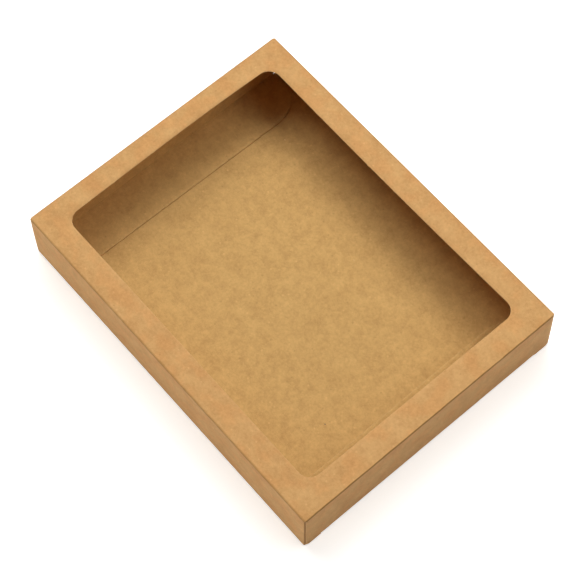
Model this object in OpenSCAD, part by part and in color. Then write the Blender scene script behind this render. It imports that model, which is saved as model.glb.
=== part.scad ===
// Window carton folded from one sheet of thin kraft board: a tube with a window in its
// top panel, dust flaps turned in at the tube's ends, and at each short end a closure
// that hangs from the top panel and holds by a tuck flap lying on the bottom panel.
// +X is the front end, +Y the right side, +Z up. The origin is the middle of the underside.

/* [Box] */
// Outside length, over both end panels
box_l = 210; // [150:1:320]
// Outside width, over both side panels
box_w = 161; // [120:1:240]
// Outside height
box_h = 34; // [30:1:60]
// Thickness of the board
board_t = 0.5; // [0.3:0.05:0.8]
// Inside radius of every fold
crease_r = 0.3; // [0.1:0.05:0.6]

/* [Window] */
// Board left between the window and the front end
window_front = 14; // [6:0.1:40]
// Board left between the window and the rear end
window_rear = 12.1; // [6:0.1:40]
// Board left between the window and the left side
window_left = 14.8; // [6:0.1:40]
// Board left between the window and the right side
window_right = 13.3; // [6:0.1:40]
// Corner radius of the window
window_r = 6.5; // [2:0.5:20]

/* [Closures] */
// Reach of a tuck flap into the box, from the outer face of its end panel
tuck_reach = 26.4; // [20:0.1:28]
// Radius of the two free corners of a tuck flap
tuck_corner_r = 16; // [4:0.5:18]
// Length of the slit at each end of a tuck flap's fold
slit_l = 10; // [4:0.5:20]
// Chamfer on the lower corners of an end panel
tip_chamfer = 1.6; // [0.4:0.1:3]
// Angle through which a closure swings open
closure_open = 85; // [60:1:85]

/* [Dust flaps] */
// Length of a dust flap, from the outer face of its side panel
dust_l = 36; // [30:1:52]
// Radius of the free corners of a dust flap
dust_corner_r = 4; // [1:0.5:5]

/* [Glued seam] */
// Height of the glue flap that stands inside the right side panel
glue_h = 13; // [6:0.5:24]
// Distance from each end of the box to the foot of the glue flap
glue_inset = 3; // [2:0.5:30]
// Slant of the glue flap's two ends
glue_slant = 5; // [0.5:0.5:10]

/* [Clearances] */
// Between the tuck flaps and the bottom panel under them
tuck_gap = 0.1; // [0.05:0.05:0.4]
// Between each side edge of a tuck flap and the side panel
tuck_side_gap = 1; // [0.9:0.1:2]
// Between each side edge of an end panel and the outside of the box
end_side_gap = 0.4; // [0.2:0.1:1]
// Between an end panel and the dust flaps behind it
dust_gap = 0.2; // [0.1:0.05:0.6]
// Between an end panel and the cut end of the bottom panel
mouth_gap = 0.2; // [0.1:0.05:0.6]
// Between the top panel and the upper edge of a dust flap
dust_top_gap = 1; // [0.4:0.1:3]
// Between a dust flap and a tuck flap as it slides out under it
sweep_gap = 0.6; // [0.3:0.1:2]
// Between an end panel's unfolded tips and the table
tip_gap = 0.1; // [0.05:0.05:0.3]
// Between the cut edges of a slit
slit_gap = 0.15; // [0.05:0.05:0.4]
// Between the two sides of a closure's fold, so that they turn freely
fold_gap = 0.04; // [0.02:0.01:0.1]

/* [Hidden] */
$fn = 48;
board_outside = "#cfa169";
board_flap = "#c39559";
// Half sizes of the box
half_l = box_l / 2;
half_w = box_w / 2;
// A fold's outside radius, and how far from its corner a mitred cut still reaches
fold_r = crease_r + board_t;
fold_reach = fold_r + 1;
// Faces and cut ends that lie behind an end panel, counted from the middle of the box
end_inner_x = half_l - board_t;
dust_outer_x = end_inner_x - dust_gap;
side_end_x = dust_outer_x - fold_r;
bottom_end_x = end_inner_x - mouth_gap;
// Where the bottom panel starts to fold up into the glue flap
glue_fold_y = half_w - board_t - fold_r;
// The underside and the upper face of a closed tuck flap
tuck_z = board_t + tuck_gap;
tuck_top_z = tuck_z + board_t;
// Half widths of an end panel, of its tuck fold and of the tuck flap
panel_half_w = half_w - end_side_gap;
fold_half_w = panel_half_w - slit_l;
tuck_half_w = half_w - board_t - tuck_side_gap;
// An end panel turns about the outside of its top fold and its tuck flap about the centre
// of its own fold. The arm runs from the first of these lines down to the second.
hinge_inset = fold_r * (1 - sqrt(0.5));
arm_x = board_t + crease_r - hinge_inset;
arm_z = box_h - hinge_inset - tuck_top_z - crease_r;
arm = norm([arm_x, arm_z]);
arm_lean = atan2(arm_x, arm_z);
// The upper edge of the dust flaps
dust_top_z = box_h - board_t - dust_top_gap;
// Straight steps in a quarter of a drawn arc
arc_steps = 8;

// How far a tuck flap that is kept level has risen, once it has moved outwards by dx
function tuck_rise(dx) =
    let (swing = min(closure_open, arm_lean + asin(min(1, (dx - arm_x) / arm))))
    arm * (cos(arm_lean) - cos(swing - arm_lean));

// Points of an arc about [cx, cy], from angle a0 to angle a1
function arc(cx, cy, r, a0, a1) =
    [for (i = [0:arc_steps]) let (a = a0 + (a1 - a0) * i / arc_steps) [cx + r * cos(a), cy + r * sin(a)]];

// A rectangle about the origin with round corners
module round_rect(w, h, r) {
    square([w - 2 * r, h], center = true);
    square([w, h - 2 * r], center = true);
    for (sx = [-1, 1], sy = [-1, 1])
        translate([sx * (w / 2 - r), sy * (h / 2 - r)]) circle(r);
}

// Stretches a profile drawn in Y and Z along X, from x0 to x1
module along_box(x0, x1) translate([x0, 0, 0]) rotate([90, 0, 90]) linear_extrude(x1 - x0) children();

// Stretches a profile drawn in X and Z along Y, from y0 to y1
module across_box(y0, y1) translate([0, y1, 0]) rotate([90, 0, 0]) linear_extrude(y1 - y0) children();

// The part of a profile that lies between two heights
module between(z0, z1) {
    intersection() {
        children();
        translate([-box_l, z0]) square([2 * box_l, z1 - z0]);
    }
}

// The tube's profile: three folded corners, and at the lower right the glued seam, where
// the side panel runs down past the bottom panel, which stops at its fold to the glue flap
module tube_profile() {
    difference() {
        union() {
            translate([0, box_h / 2]) round_rect(box_w, box_h, fold_r);
            translate([half_w - board_t, 0]) square([board_t, box_h / 2]);
        }
        translate([0, box_h / 2]) round_rect(box_w - 2 * board_t, box_h - 2 * board_t, crease_r);
        translate([glue_fold_y, -fold_r]) square([fold_r, 2 * fold_r]);
    }
}

// The bottom panel alone, without the folds at its two sides
module bottom_profile() {
    translate([fold_r - half_w, 0]) square([half_w - fold_r + glue_fold_y, board_t]);
}

// The closure's profile at the front end: end panel, tuck flap and both of their folds
module closure_profile() {
    translate([0, (box_h + tuck_z) / 2]) difference() {
        round_rect(box_l, box_h - tuck_z, fold_r);
        round_rect(box_l - 2 * board_t, box_h - tuck_z - 2 * board_t, crease_r);
    }
}

// The top panel's half of the upper fold
module top_fold_profile() {
    intersection() {
        closure_profile();
        polygon([
            [half_l - fold_reach, box_h - fold_reach + fold_gap],
            [half_l, box_h + fold_gap],
            [half_l - fold_reach, box_h + fold_gap]
        ]);
    }
}

// The end panel's profile where the tuck flap is folded from it
module folded_panel_profile() {
    intersection() {
        closure_profile();
        polygon([
            [half_l - fold_reach, box_h - fold_reach],
            [half_l, box_h],
            [half_l, tuck_z],
            [half_l - fold_reach, tuck_z + fold_reach]
        ]);
    }
}

// The end panel's profile beside a slit, where the board runs straight down
module plain_panel_profile() {
    between(box_h / 2, box_h) folded_panel_profile();
    translate([end_inner_x, tip_gap]) square([board_t, box_h / 2]);
}

// The tuck flap's profile where it is folded from the end panel
module folded_tuck_profile() {
    intersection() {
        closure_profile();
        polygon([
            [half_l - tuck_reach, tuck_z],
            [half_l - fold_gap, tuck_z],
            [half_l - fold_gap - fold_reach, tuck_z + fold_reach],
            [half_l - tuck_reach, tuck_z + fold_reach]
        ]);
    }
}

// The tuck flap's profile beside a slit
module plain_tuck_profile() {
    translate([half_l - tuck_reach, tuck_z]) square([tuck_reach - board_t - slit_gap, board_t]);
}

// The tuck flap seen from above, with its two round free corners
module tuck_outline() {
    corner_x = half_l - tuck_reach + tuck_corner_r;
    corner_y = tuck_half_w - tuck_corner_r;
    polygon(concat(
        [[half_l, -tuck_half_w]],
        arc(corner_x, -corner_y, tuck_corner_r, 270, 180),
        arc(corner_x, corner_y, tuck_corner_r, 180, 90),
        [[half_l, tuck_half_w]]
    ));
}

// The panel of the front closure
module end_panel() {
    slit_end = fold_half_w + slit_gap;
    difference() {
        union() {
            across_box(-slit_end, slit_end) folded_panel_profile();
            difference() {
                across_box(-panel_half_w, panel_half_w) plain_panel_profile();
                across_box(-slit_end, slit_end) square([box_l, box_h]);
            }
        }
        for (side = [-1, 1])
            translate([half_l, side * panel_half_w, tip_gap]) rotate([45, 0, 0])
                cube([2 * fold_reach, tip_chamfer * sqrt(2), tip_chamfer * sqrt(2)], center = true);
    }
}

// The tuck flap of the front closure
module tuck_flap() {
    intersection() {
        union() {
            across_box(-fold_half_w, fold_half_w) folded_tuck_profile();
            across_box(-tuck_half_w, tuck_half_w) plain_tuck_profile();
        }
        linear_extrude(box_h) tuck_outline();
    }
}

// A dust flap seen from above, with its fold and the last stretch of its side panel
module dust_plan() {
    intersection() {
        difference() {
            round_rect(2 * dust_outer_x, box_w, fold_r);
            round_rect(2 * (dust_outer_x - board_t), box_w - 2 * board_t, crease_r);
        }
        translate([side_end_x - fold_reach, half_w - dust_l]) square([2 * fold_reach, dust_l]);
    }
}

// The dust flap on the right at the front end, with the fold to its side panel.
// Its lower edge leaves room for the tuck flap to slide out under it.
module dust_flap() {
    free_y = half_w - dust_l + dust_corner_r;
    sweep = [for (i = [0:arc_steps]) let (a = 90 * i / arc_steps) [
        tuck_half_w - tuck_corner_r * (1 - cos(a)),
        tuck_top_z + sweep_gap + tuck_rise(tuck_reach - tuck_corner_r * (1 - sin(a)) - board_t - dust_gap)
    ]];
    low_z = sweep[0][1];
    high_z = sweep[arc_steps][1];
    intersection() {
        linear_extrude(box_h) dust_plan();
        along_box(side_end_x - fold_reach, half_l) polygon(concat(
            [[half_w, low_z]],
            sweep,
            arc(free_y, high_z + dust_corner_r, dust_corner_r, 270, 180),
            arc(free_y, dust_top_z - dust_corner_r, dust_corner_r, 180, 90),
            [[half_w, dust_top_z]]
        ));
    }
}

// The glue flap's profile: its fold, which starts in the bottom panel, and the board that
// stands bonded to the inside of the right side panel
module glue_profile() {
    intersection() {
        translate([0, box_h / 2]) difference() {
            round_rect(box_w - 2 * board_t, box_h, fold_r);
            round_rect(box_w - 4 * board_t, box_h - 2 * board_t, crease_r);
        }
        translate([glue_fold_y - fold_reach, 0]) square([2 * fold_reach, glue_h]);
    }
    translate([half_w - 1.5 * board_t, fold_r]) square([board_t, glue_h - fold_r]);
}

// The glue flap, folded up from the bottom panel, with its two slanted ends
module glue_flap() {
    foot = half_l - glue_inset;
    intersection() {
        along_box(-foot, foot) glue_profile();
        across_box(0, box_w) polygon([
            [-foot, -fold_reach],
            [foot, -fold_reach],
            [foot, fold_r],
            [foot - glue_slant, glue_h],
            [-foot + glue_slant, glue_h],
            [-foot, fold_r]
        ]);
    }
}

// The window, cut through the top panel
module window_cut() {
    window_l = box_l - window_front - window_rear;
    window_w = box_w - window_left - window_right;
    translate([(window_rear - window_front) / 2, (window_left - window_right) / 2, box_h - 2 * fold_reach])
        linear_extrude(4 * fold_reach) round_rect(window_l, window_w, window_r);
}

module carton() {
    top_fold_y = half_w - fold_r;
    top_end_x = half_l - fold_r;
    color(board_outside) difference() {
        union() {
            along_box(-top_end_x, top_end_x) between(box_h - fold_r, box_h) tube_profile();
            along_box(-side_end_x, side_end_x) tube_profile();
            along_box(-bottom_end_x, bottom_end_x) bottom_profile();
            for (end = [0, 1]) mirror([end, 0, 0]) {
                across_box(-top_fold_y, top_fold_y) top_fold_profile();
                for (side = [0, 1]) mirror([0, side, 0]) dust_flap();
            }
            glue_flap();
        }
        window_cut();
    }
}

module front_end_panel() color(board_outside) end_panel();

module front_tuck_flap() color(board_flap) tuck_flap();

module rear_end_panel() color(board_outside) mirror([1, 0, 0]) end_panel();

module rear_tuck_flap() color(board_flap) mirror([1, 0, 0]) tuck_flap();

carton();
front_end_panel();
front_tuck_flap();
rear_end_panel();
rear_tuck_flap();
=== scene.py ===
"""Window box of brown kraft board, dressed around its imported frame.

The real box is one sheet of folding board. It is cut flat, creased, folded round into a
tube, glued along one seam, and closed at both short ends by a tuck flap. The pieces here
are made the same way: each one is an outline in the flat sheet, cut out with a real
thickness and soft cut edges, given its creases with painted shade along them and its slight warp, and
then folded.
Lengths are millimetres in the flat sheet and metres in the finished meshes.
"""

import logging
import math
from collections.abc import Callable
from dataclasses import dataclass, field
from enum import Enum

import bpy
import numpy as np
from mathutils import Matrix, Vector
from mathutils.geometry import delaunay_2d_cdt


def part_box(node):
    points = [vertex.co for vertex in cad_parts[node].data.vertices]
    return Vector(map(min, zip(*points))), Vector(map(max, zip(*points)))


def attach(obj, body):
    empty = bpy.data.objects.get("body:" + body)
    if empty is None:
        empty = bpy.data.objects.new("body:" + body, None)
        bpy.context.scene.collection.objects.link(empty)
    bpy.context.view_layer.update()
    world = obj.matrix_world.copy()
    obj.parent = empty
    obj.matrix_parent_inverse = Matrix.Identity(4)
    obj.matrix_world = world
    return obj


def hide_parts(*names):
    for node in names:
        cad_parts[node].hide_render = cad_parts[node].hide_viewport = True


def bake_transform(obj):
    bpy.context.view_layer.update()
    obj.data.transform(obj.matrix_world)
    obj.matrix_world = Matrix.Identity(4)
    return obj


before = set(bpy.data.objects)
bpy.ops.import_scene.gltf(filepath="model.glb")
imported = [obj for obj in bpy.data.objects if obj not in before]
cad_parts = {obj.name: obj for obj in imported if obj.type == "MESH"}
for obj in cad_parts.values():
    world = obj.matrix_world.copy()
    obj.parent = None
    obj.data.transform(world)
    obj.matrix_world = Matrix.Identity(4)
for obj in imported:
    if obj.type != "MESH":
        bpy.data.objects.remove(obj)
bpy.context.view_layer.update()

log = logging.getLogger("window_box")

MM = 0.001
QUARTER = math.pi / 2
ARC_STEPS = 10
NEARLY_ZERO = 1e-6
SHORTEST_EDGE = 0.04
ROOM_TO_EDGE = 0.07
CORNER_TURN = 0.2
SHARP_EDGE = math.radians(50)
FOLD_MARGIN = 1.5
FOLD_STEP = 0.3
GLUE_STEP = 2.2
PANEL_STEP = 2.3
DUST_STEP = 2.4
NICK_HALF = 0.45


class Face(Enum):
    """The three kinds of surface that a cut sheet of board shows."""

    OUTER = 0
    INNER = 1
    CUT = 2


class End(Enum):
    """The two short ends of the box. The value is the end's sign along X."""

    FRONT = 1
    REAR = -1

    @property
    def word(self) -> str:
        """The end's name in body, node and piece names."""
        return self.name.lower()


# Shape of the board


@dataclass(frozen=True)
class BoardStock:
    """The folding board that the whole box is cut from, in millimetres."""

    thickness: float = 0.5
    fold_inside: float = 0.12
    edge_round: float = 0.09
    skin: float = 0.02

    @property
    def half(self) -> float:
        """Half of the board's thickness."""
        return self.thickness / 2

    @property
    def fold_outside(self) -> float:
        """Outer radius of a fold."""
        return self.fold_inside + self.thickness

    @property
    def fold_middle(self) -> float:
        """Radius of a fold at the middle of the board."""
        return self.fold_inside + self.half

    @property
    def fold_length(self) -> float:
        """Length of a square fold along the middle of the board."""
        return self.fold_middle * QUARTER


@dataclass(frozen=True)
class BoxSizes:
    """Sizes of the folded box in millimetres, most of them read from the frame."""

    half_l: float
    half_w: float
    height: float
    panel_half_w: float
    tuck_half_w: float
    tuck_reach: float
    top_end: float
    bottom_end: float = 104.3
    side_end: float = 103.83
    window_front: float = 14.15
    window_rear: float = 12.25
    window_left: float = 14.85
    window_right: float = 12.94
    window_rear_r: float = 7.1
    window_front_r: float = 6.7
    left_lean: float = 0.9
    front_lean: float = 0.4
    glue_h: float = 13.0
    glue_inset: float = 3.0
    glue_slant: float = 5.0
    dust_l: float = 36.0
    dust_corner_r: float = 4.0
    dust_top_gap: float = 1.0
    dust_root_gap: float = 0.2
    dust_gap: float = 0.2
    dust_foot: float = 0.95
    sweep_gap: float = 0.6
    tuck_corner_r: float = 16.0
    tuck_corner_deep: float = 14.0
    tuck_corner_wide: float = 20.0
    tuck_slant: float = 0.8
    tuck_z: float = 0.6
    tuck_short: float = 0.8
    slit_l: float = 10.0
    end_cut: float = 0.6
    slit_gap: float = 0.15
    tip_gap: float = 0.1
    tip_chamfer: float = 1.6
    open_angle: float = math.radians(85)

    @classmethod
    def from_frame(cls, board: BoardStock) -> "BoxSizes":
        """Reads the box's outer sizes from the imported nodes.

        Args:
            board: The stock that the box is folded from.

        Returns:
            The sizes, in millimetres.
        """
        carton_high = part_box("carton")[1] / MM
        panel_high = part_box("front_end_panel")[1] / MM
        tuck_low, tuck_high = (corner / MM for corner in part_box("front_tuck_flap"))
        return cls(
            half_l=panel_high.x,
            half_w=carton_high.y,
            height=carton_high.z,
            panel_half_w=panel_high.y,
            tuck_half_w=tuck_high.y,
            tuck_reach=panel_high.x - tuck_low.x,
            top_end=panel_high.x - board.fold_outside,
        )


class FoldPath:
    """A line that the board's middle follows in one plane: straight runs and folds.

    Attributes:
        starts: Length along the path at which each leg begins.
        total: Length of the whole path.
    """

    def __init__(
        self, start: tuple[float, float], heading: float, legs: list[tuple[float, float]]
    ) -> None:
        """Lays the path out.

        Args:
            start: Where the path begins.
            heading: Its first direction, as an angle.
            legs: For each leg its length and the angle it turns through, 0 if straight.
        """
        self.legs = legs
        self.starts = [0.0]
        self.points = [np.array(start, float)]
        self.headings = [heading]
        for length, turn in legs:
            here, angle = self.points[-1], self.headings[-1]
            ahead = self._leg_place(here, angle, length, turn, np.array([length]), np.zeros(1))
            self.points.append(ahead[0])
            self.headings.append(angle + turn)
            self.starts.append(self.starts[-1] + length)
        self.total = self.starts[-1]

    @staticmethod
    def _leg_place(
        here: np.ndarray, angle: float, length: float, turn: float, along: np.ndarray, lift: np.ndarray
    ) -> np.ndarray:
        """Points on one leg of the path.

        Args:
            here: Where the leg begins.
            angle: The direction that it begins in.
            length: Its length.
            turn: The angle that it turns through, 0 if straight.
            along: Distance of each point along the leg.
            lift: Distance of each point off the leg's left side.

        Returns:
            One point in the path's plane for each.
        """
        if turn == 0:
            ahead = np.array([math.cos(angle), math.sin(angle)])
            left = np.array([-ahead[1], ahead[0]])
            return here + along[:, None] * ahead + lift[:, None] * left
        radius = length / turn
        centre = here + radius * np.array([-math.sin(angle), math.cos(angle)])
        now = angle + turn * along / length
        left = np.column_stack([-np.sin(now), np.cos(now)])
        return centre + (lift - radius)[:, None] * left

    def place(self, along: np.ndarray, lift: np.ndarray) -> np.ndarray:
        """Folds points of the flat sheet.

        Args:
            along: Distance of each point along the path.
            lift: Distance of each point from the board's middle, to the path's left.

        Returns:
            One point in the path's plane for each.
        """
        placed = np.zeros((len(along), 2))
        leg_of = np.clip(np.searchsorted(self.starts, along, side="right") - 1, 0, len(self.legs) - 1)
        for k, (length, turn) in enumerate(self.legs):
            mine = leg_of == k
            placed[mine] = self._leg_place(
                self.points[k], self.headings[k], length, turn, along[mine] - self.starts[k], lift[mine]
            )
        return placed


def arc_points(
    centre: tuple[float, float], radius: float, first: float, last: float, steps: int
) -> np.ndarray:
    """Points of an arc, its two ends included.

    Args:
        centre: The arc's centre.
        radius: Its radius.
        first: Angle of its first point, in degrees.
        last: Angle of its last point, in degrees.
        steps: How many straight steps it is drawn in.

    Returns:
        The points, one to a row.
    """
    angles = np.radians(np.linspace(first, last, steps + 1))
    return np.column_stack([centre[0] + radius * np.cos(angles), centre[1] + radius * np.sin(angles)])


def stations(marks: list[tuple[float, float]]) -> np.ndarray:
    """Lattice lines across the sheet, from stretches that each have their own spacing.

    Args:
        marks: Where each stretch begins and the spacing it asks for. The last one only
            says where the lattice ends.

    Returns:
        The lines' places, in order.
    """
    lines = []
    for (begin, spacing), (end, _) in zip(marks, marks[1:]):
        steps = max(1, round((end - begin) / spacing))
        lines.extend(begin + (end - begin) * k / steps for k in range(steps))
    lines.append(marks[-1][0])
    return np.array(lines)


@dataclass
class FlatPiece:
    """An outline in the flat sheet, with its holes and the lattice it is meshed on.

    Attributes:
        outline: Corner points, anticlockwise.
        lines_u: Lattice lines across the sheet's U direction.
        lines_v: Lattice lines across its V direction.
        holes: Corner points of each hole, clockwise.
        seams: Pairs of points. An outline edge that lies between the two joins on to a
            neighbour, so it gets a plain end with no rounding.
    """

    outline: np.ndarray
    lines_u: np.ndarray
    lines_v: np.ndarray
    holes: list[np.ndarray] = field(default_factory=list)
    seams: list[tuple[tuple[float, float], tuple[float, float]]] = field(default_factory=list)

    def _split(self, loop: np.ndarray) -> np.ndarray:
        """Adds a point to a loop wherever it crosses a lattice line.

        Args:
            loop: The loop's corner points.

        Returns:
            All its points, in order.
        """
        points = []
        for a, b in zip(loop, np.roll(loop, -1, axis=0)):
            shares = {0.0}
            for axis, lines in enumerate((self.lines_u, self.lines_v)):
                run = b[axis] - a[axis]
                if abs(run) > 1e-9:
                    cut = (lines - a[axis]) / run
                    shares.update(cut[(cut > 0) & (cut < 1)].tolist())
            last = -1.0
            length = float(np.linalg.norm(b - a))
            for share in sorted(shares):
                apart = min(share - last, 1 - share) * length > SHORTEST_EDGE
                if apart or share == 0:
                    points.append(a + share * (b - a))
                    last = share
        return np.array(points)

    def mesh(self) -> tuple[np.ndarray, np.ndarray, list[np.ndarray]]:
        """Meshes the flat piece.

        Returns:
            Its points, its triangles, and for each loop the indices of its points.
        """
        loops = [self._split(self.outline)] + [self._split(hole) for hole in self.holes]
        edge_points = np.concatenate(loops)
        grid = np.stack(np.meshgrid(self.lines_u, self.lines_v, indexing="ij"), -1).reshape(-1, 2)
        grid = grid[self._inside(grid, loops, ROOM_TO_EDGE)]
        points = np.concatenate([edge_points, grid])
        edges, first = [], 0
        for loop in loops:
            count = len(loop)
            edges.extend((first + k, first + (k + 1) % count) for k in range(count))
            first += count
        corners = [Vector(point) for point in points]
        _, _, faces, origin, _, _ = delaunay_2d_cdt(corners, edges, [], 1, NEARLY_ZERO)
        flat, faces = np.array([points[olds[0]] for olds in origin]), np.array(faces)
        faces = faces[self._inside(flat[faces].mean(axis=1), loops, 0.0)]
        place_of = np.full(len(points), -1)
        for new, olds in enumerate(origin):
            place_of[list(olds)] = new
        found, first = [], 0
        for loop in loops:
            found.append(place_of[first : first + len(loop)])
            first += len(loop)
        return flat, faces, found

    @staticmethod
    def _inside(grid: np.ndarray, loops: list[np.ndarray], room: float) -> np.ndarray:
        """Which points lie inside the piece and have some room to its edges.

        Args:
            grid: The points.
            loops: The piece's outline and its holes.
            room: The least distance to any edge.

        Returns:
            True for each point that does.
        """
        inside = np.zeros(len(grid), bool)
        clear = np.full(len(grid), np.inf)
        for loop in loops:
            for a, b in zip(loop, np.roll(loop, -1, axis=0)):
                run = b - a
                across = grid - a
                if a[1] != b[1]:
                    crosses = (a[1] > grid[:, 1]) != (b[1] > grid[:, 1])
                    at = a[0] + run[0] * (grid[:, 1] - a[1]) / run[1]
                    inside ^= crosses & (grid[:, 0] < at)
                share = np.clip(across @ run / (run @ run), 0, 1)
                clear = np.minimum(clear, np.linalg.norm(across - share[:, None] * run, axis=1))
        return inside & (clear > room)

    def is_seam(self, a: np.ndarray, b: np.ndarray) -> bool:
        """Whether an outline edge joins on to a neighbour.

        Args:
            a: Where the edge begins.
            b: Where it ends.

        Returns:
            True if it lies on one of the seams.
        """
        for low, high in self.seams:
            low, high = np.array(low), np.array(high)
            run = high - low
            off = [abs(float(np.cross(run, p - low))) / np.linalg.norm(run) for p in (a, b)]
            share = [float((p - low) @ run) / float(run @ run) for p in (a, b)]
            between = min(share) >= -NEARLY_ZERO and max(share) <= 1 + NEARLY_ZERO
            if max(off) < NEARLY_ZERO and between:
                return True
        return False


@dataclass
class Thick:
    """A flat piece given its thickness: points as (u, v, lift), faces and what each shows."""

    points: np.ndarray
    faces: list[tuple[int, ...]]
    kinds: list[Face]


def thicken(piece: FlatPiece, board: BoardStock) -> Thick:
    """Gives a flat piece its two faces and a softly rounded cut edge all round.

    Args:
        piece: The outline and its lattice.
        board: The stock that it is cut from.

    Returns:
        The solid sheet, still flat.
    """
    flat, triangles, loops = piece.mesh()
    count = len(flat)
    top = board.half - board.skin
    pulled = flat.copy()
    rim: list[tuple[int, ...]] = []
    ring_points, ring_first = [], 2 * count
    levels = (top - board.edge_round, 0.0, board.edge_round - top)
    for loop in loops:
        ring = flat[loop]
        after = np.roll(ring, -1, axis=0)
        ahead = after - ring
        ahead /= np.linalg.norm(ahead, axis=1)[:, None]
        out = np.column_stack([ahead[:, 1], -ahead[:, 0]])
        cut = np.array([0.0 if piece.is_seam(a, b) else board.edge_round for a, b in zip(ring, after)])
        before, cut_before = np.roll(out, 1, axis=0), np.roll(cut, 1)
        turn = before[:, 0] * out[:, 1] - before[:, 1] * out[:, 0]
        for k, index in enumerate(loop):
            if abs(turn[k]) > CORNER_TURN:
                shift = np.linalg.solve(np.array([before[k], out[k]]), [-cut_before[k], -cut[k]])
            else:
                shift = -(before[k] * cut_before[k] + out[k] * cut[k]) / 2
            pulled[index] = flat[index] + shift
        size = len(loop)
        for level in levels:
            ring_points.append(np.column_stack([ring, np.full(size, level)]))
        rings = [ring_first + size * k + np.arange(size) for k in range(len(levels))]
        rows = [loop, *rings, loop + count]
        ring_first += size * len(levels)
        for upper, lower in zip(rows, rows[1:]):
            after_upper, after_lower = np.roll(upper, -1), np.roll(lower, -1)
            rim.extend(zip(upper.tolist(), lower.tolist(), after_lower.tolist(), after_upper.tolist()))
    points = np.concatenate([
        np.column_stack([pulled, np.full(count, top)]),
        np.column_stack([pulled, np.full(count, -top)]),
        *ring_points,
    ])
    faces = [tuple(t) for t in triangles.tolist()]
    faces += [tuple(t) for t in (triangles[:, ::-1] + count).tolist()]
    kinds = [Face.OUTER] * len(triangles) + [Face.INNER] * len(triangles) + [Face.CUT] * len(rim)
    return Thick(points, faces + rim, kinds)


def piece_object(
    name: str,
    thick: Thick,
    folded: np.ndarray,
    sheet: np.ndarray,
    crease: np.ndarray,
    flip: bool,
    materials: dict[Face, bpy.types.Material],
) -> bpy.types.Object:
    """Makes the Blender object of a folded piece.

    Args:
        name: The piece's name.
        thick: The sheet that was folded.
        folded: Its points once folded, in millimetres.
        sheet: Each point's place in the flat sheet, which its paper grain follows.
        crease: How strongly each point is darkened along a crease, from 0 to 1: the score line's own tone
            plus painted shade in the fold.
        flip: True if the folding mirrored the piece, so that its faces turn round.
        materials: What each kind of face is made of.

    Returns:
        The object, linked into the scene.
    """
    mesh = bpy.data.meshes.new(name)
    faces = [face[::-1] for face in thick.faces] if flip else thick.faces
    mesh.from_pydata((folded * MM).tolist(), [], faces)
    for face in Face:
        mesh.materials.append(materials[face])
    mesh.polygons.foreach_set("material_index", [kind.value for kind in thick.kinds])
    mesh.polygons.foreach_set("use_smooth", [True] * len(faces))
    place = mesh.attributes.new("sheet_place", "FLOAT_VECTOR", "POINT")
    place.data.foreach_set("vector", (sheet * MM).astype(np.float32).ravel())
    # The crease attribute carries painted shade: it darkens each fold's line, standing in for the shade
    # in the fold, as well as the score's own tone.
    mask = mesh.attributes.new("crease", "FLOAT", "POINT")
    mask.data.foreach_set("value", crease.astype(np.float32))
    mesh.update()
    mesh.validate()
    mesh.set_sharp_from_angle(angle=SHARP_EDGE)
    made = bpy.data.objects.new(name, mesh)
    bpy.context.scene.collection.objects.link(made)
    return made


# Finishes


def srgb(red: float, green: float, blue: float) -> tuple[float, float, float, float]:
    """A colour given in the 0 to 255 values of a screen, as Blender's linear one."""
    channels = [c / 255 for c in (red, green, blue)]
    return tuple(c / 12.92 if c <= 0.04045 else ((c + 0.055) / 1.055) ** 2.4 for c in channels) + (1.0,)


class Bench:
    """Adds and wires the nodes of one tree."""

    def __init__(self, tree: bpy.types.NodeTree) -> None:
        """Takes the tree and empties it."""
        self.tree = tree
        tree.nodes.clear()

    def add(self, kind: str, **settings: object) -> bpy.types.Node:
        """Adds a node.

        Args:
            kind: The node's type.
            **settings: Properties to set on it.

        Returns:
            The node.
        """
        node = self.tree.nodes.new(kind)
        for key, value in settings.items():
            setattr(node, key, value)
        return node

    def feed(self, socket: bpy.types.NodeSocket, value: object) -> None:
        """Links a socket into another, or sets it to a plain value.

        Args:
            socket: The input.
            value: An output socket, or the plain value.
        """
        if isinstance(value, bpy.types.NodeSocket):
            self.tree.links.new(value, socket)
        else:
            socket.default_value = value

    def math(self, operation: str, *values: object, clamp: bool = False) -> bpy.types.NodeSocket:
        """Adds a Math node.

        Args:
            operation: What it works out.
            *values: Its inputs, sockets or numbers.
            clamp: True to keep the result from 0 to 1.

        Returns:
            Its result.
        """
        node = self.add("ShaderNodeMath", operation=operation, use_clamp=clamp)
        for socket, value in zip(node.inputs, values):
            self.feed(socket, value)
        return node.outputs[0]

    def blend(
        self, factor: object, first: object, second: object, mode: str = "MIX"
    ) -> bpy.types.NodeSocket:
        """Mixes two colours.

        Args:
            factor: Share of the second.
            first: The first colour.
            second: The second colour.
            mode: How they are mixed.

        Returns:
            The mixed colour.
        """
        node = self.add("ShaderNodeMix", data_type="RGBA", blend_type=mode)
        for index, value in ((0, factor), (6, first), (7, second)):
            self.feed(node.inputs[index], value)
        return node.outputs[2]

    def noise(
        self, place: object, scale: float, detail: float = 2.0, roughness: float = 0.5
    ) -> bpy.types.NodeSocket:
        """Adds a noise, about 0.5 on average.

        Args:
            place: Where it is read.
            scale: Waves to the metre.
            detail: How many finer waves lie on the first.
            roughness: How strong the finer ones are.

        Returns:
            Its value.
        """
        node = self.add("ShaderNodeTexNoise")
        self.feed(node.inputs["Vector"], place)
        node.inputs["Scale"].default_value = scale
        node.inputs["Detail"].default_value = detail
        node.inputs["Roughness"].default_value = roughness
        return node.outputs[0]

    def step(
        self, value: object, low: float, high: float, begin: float = 0.0, end: float = 1.0
    ) -> bpy.types.NodeSocket:
        """Adds a smooth step.

        Args:
            value: What is measured.
            low: Its value at which the step begins.
            high: Its value at which the step ends.
            begin: The result up to low.
            end: The result from high on.

        Returns:
            The step's result.
        """
        node = self.add("ShaderNodeMapRange", interpolation_type="SMOOTHSTEP")
        for socket, number in zip(node.inputs, (value, low, high, begin, end)):
            self.feed(socket, number)
        return node.outputs[0]


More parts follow.
